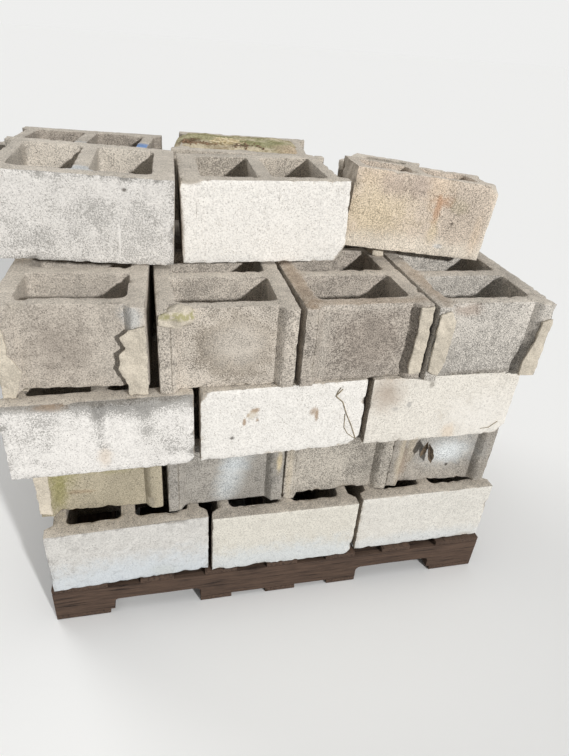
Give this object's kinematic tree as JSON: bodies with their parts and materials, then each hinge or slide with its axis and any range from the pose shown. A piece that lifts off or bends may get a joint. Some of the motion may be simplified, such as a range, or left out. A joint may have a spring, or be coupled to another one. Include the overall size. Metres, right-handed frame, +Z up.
{
  "type": "pallet of concrete blocks",
  "caption": "Wooden stringer pallet stacked with reclaimed hollow concrete blocks in dry courses, some painted white, with old mortar on their ends.",
  "frame": {"origin": "centre of the pallet's underside, on the floor", "axes": "+X along the front of the stack and the pallet's stringers, +Y from the front to the back, +Z up"},
  "size_m": [1.308, 1.0735, 1.1251],
  "materials": {
    "painted_concrete": "worn white paint on one face of open-textured concrete",
    "concrete": "weathered, open-textured grey-beige concrete",
    "mortar": "rough cream mortar",
    "soil": "dry soil, moss and straw",
    "pallet_wood": "dark weathered softwood"
  },
  "bodies": {
    "root": {"course_1_front_blocks": "painted_concrete", "course_1_middle_blocks": "concrete", "course_1_back_blocks": "concrete", "course_2_front_blocks": "concrete", "course_2_middle_blocks": "concrete", "course_2_back_blocks": "concrete", "course_3_front_blocks": "painted_concrete", "course_3_middle_blocks": "concrete", "course_3_back_blocks": "concrete", "course_4_front_blocks": "concrete", "course_4_middle_blocks": "concrete", "course_4_back_blocks": "concrete", "course_5_front_blocks": "painted_concrete", "course_5_back_blocks": "concrete", "mortar_remnants": "mortar", "soil_in_cells": "soil", "stringers": "pallet_wood", "deck_boards": "pallet_wood", "bottom_boards": "pallet_wood"}
  },
  "joints": []
}
